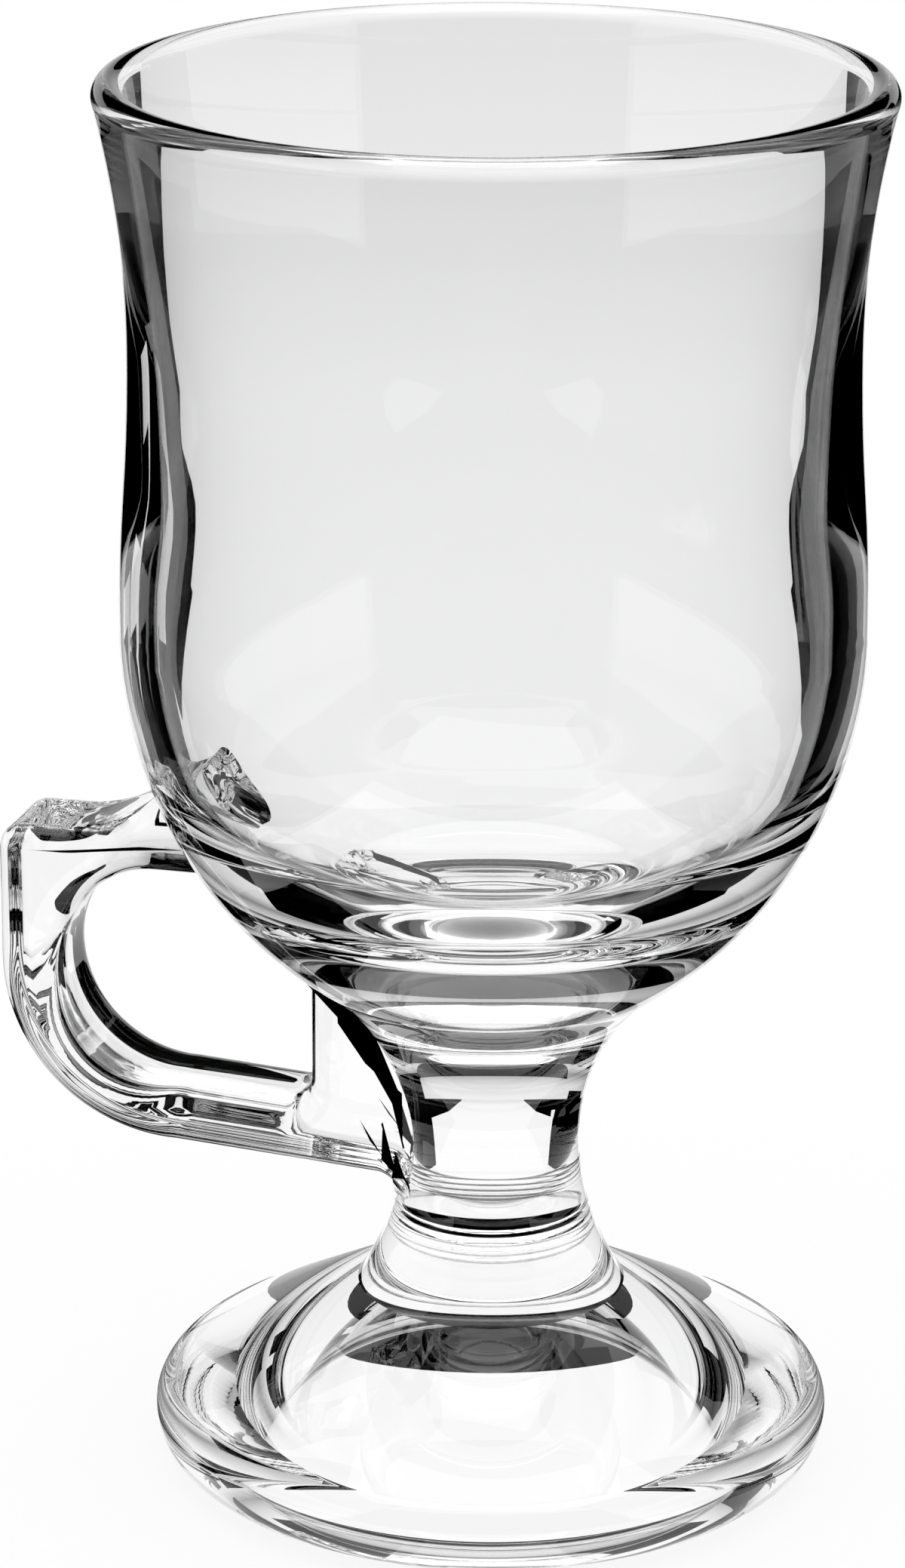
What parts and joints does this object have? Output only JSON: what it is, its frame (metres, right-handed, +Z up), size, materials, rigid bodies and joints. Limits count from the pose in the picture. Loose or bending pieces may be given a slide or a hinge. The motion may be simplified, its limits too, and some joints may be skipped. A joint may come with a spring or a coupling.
{
  "type": "irish coffee mug",
  "caption": "Clear glass irish coffee mug: a heavy-based flared bowl on a short waisted stem and a round foot, with a solid side handle that has a thumb rest and a finger loop.",
  "frame": {"origin": "on the mug's axis, at the surface that the foot rests on", "axes": "+Z up along the axis of the bowl, stem and foot; -X towards the handle; the handle's middle plane is XZ"},
  "size_m": [0.0875, 0.076, 0.14],
  "materials": {
    "bowl_glass": "clear, fire polished",
    "stem_glass": "clear, fire polished",
    "foot_glass": "clear, fire polished",
    "handle_glass": "clear, fire polished"
  },
  "bodies": {
    "root": {"bowl": "bowl_glass", "stem": "stem_glass", "foot": "foot_glass", "handle": "handle_glass"}
  },
  "joints": []
}
